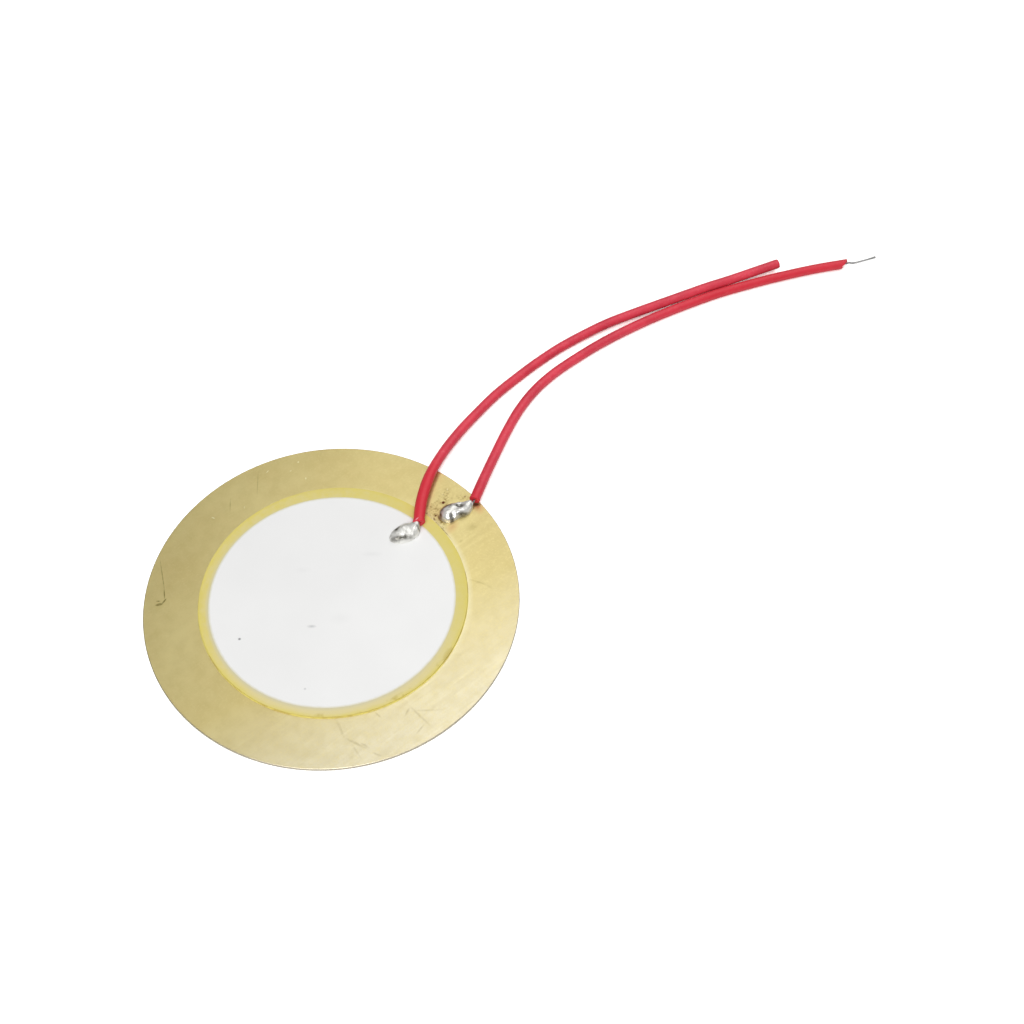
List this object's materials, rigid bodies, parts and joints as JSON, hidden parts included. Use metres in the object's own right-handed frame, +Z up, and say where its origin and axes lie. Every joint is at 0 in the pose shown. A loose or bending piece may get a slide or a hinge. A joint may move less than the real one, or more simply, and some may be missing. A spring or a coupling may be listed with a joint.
{
  "type": "piezo disc",
  "caption": "Thin round brass plate carrying a smaller silvered piezoceramic disc, with two soldered hook-up leads leaving on one side.",
  "frame": {"origin": "centre of the brass plate's underside, on the plane that the disc rests on", "axes": "+Z up through the ceramic, square to the plate; +X from the centre towards the solder joint on the brass, on the side where both leads leave; +Y completes a right-handed frame"},
  "size_m": [0.0886, 0.035, 0.0016],
  "materials": {
    "brass_sheet": "satin",
    "epoxy": "clear yellow, cured",
    "piezoceramic": "matt",
    "fired_silver": "matt white, as fired",
    "solder": "bright, as frozen",
    "tinned_copper": "bright",
    "red_insulation": "satin"
  },
  "bodies": {
    "root": {"brass_plate": "brass_sheet", "glue_bond": "epoxy", "lower_silver": "fired_silver", "ceramic_disc": "piezoceramic", "upper_silver": "fired_silver", "silver_joint": "solder", "brass_joint": "solder", "silver_lead_core": "tinned_copper", "silver_lead": "red_insulation", "brass_lead_core": "tinned_copper", "brass_lead": "red_insulation"}
  },
  "joints": []
}
